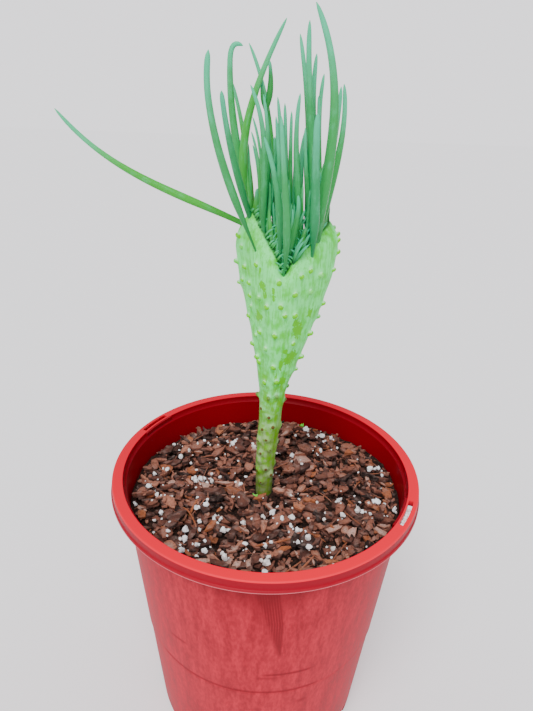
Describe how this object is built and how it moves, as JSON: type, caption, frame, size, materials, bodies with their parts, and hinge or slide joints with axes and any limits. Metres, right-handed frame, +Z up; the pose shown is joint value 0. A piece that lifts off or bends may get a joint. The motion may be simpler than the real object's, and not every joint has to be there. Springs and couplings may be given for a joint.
{
  "type": "potted crested senecio",
  "caption": "Crested succulent with a fan-shaped stem and upright pencil leaves, growing in bark mix in a round tapered nursery pot with a rolled rim.",
  "frame": {"origin": "centre of the pot's flat base, on the surface that it stands on", "axes": "+Z up along the pot's axis, -Y towards the side that the plant shows, +X to the right seen from there"},
  "size_m": [0.2159, 0.2014, 0.462],
  "materials": {
    "red_plastic": "satin, with pale scuffs and a thin haze of dried water",
    "bark_mix": "rough, dry flakes of bark with white grains of perlite",
    "senecio_green": "soft satin skin with a pale waxy bloom"
  },
  "bodies": {
    "root": {"pot": "red_plastic", "potting_mix": "bark_mix", "crested_stem": "senecio_green"}
  },
  "joints": []
}
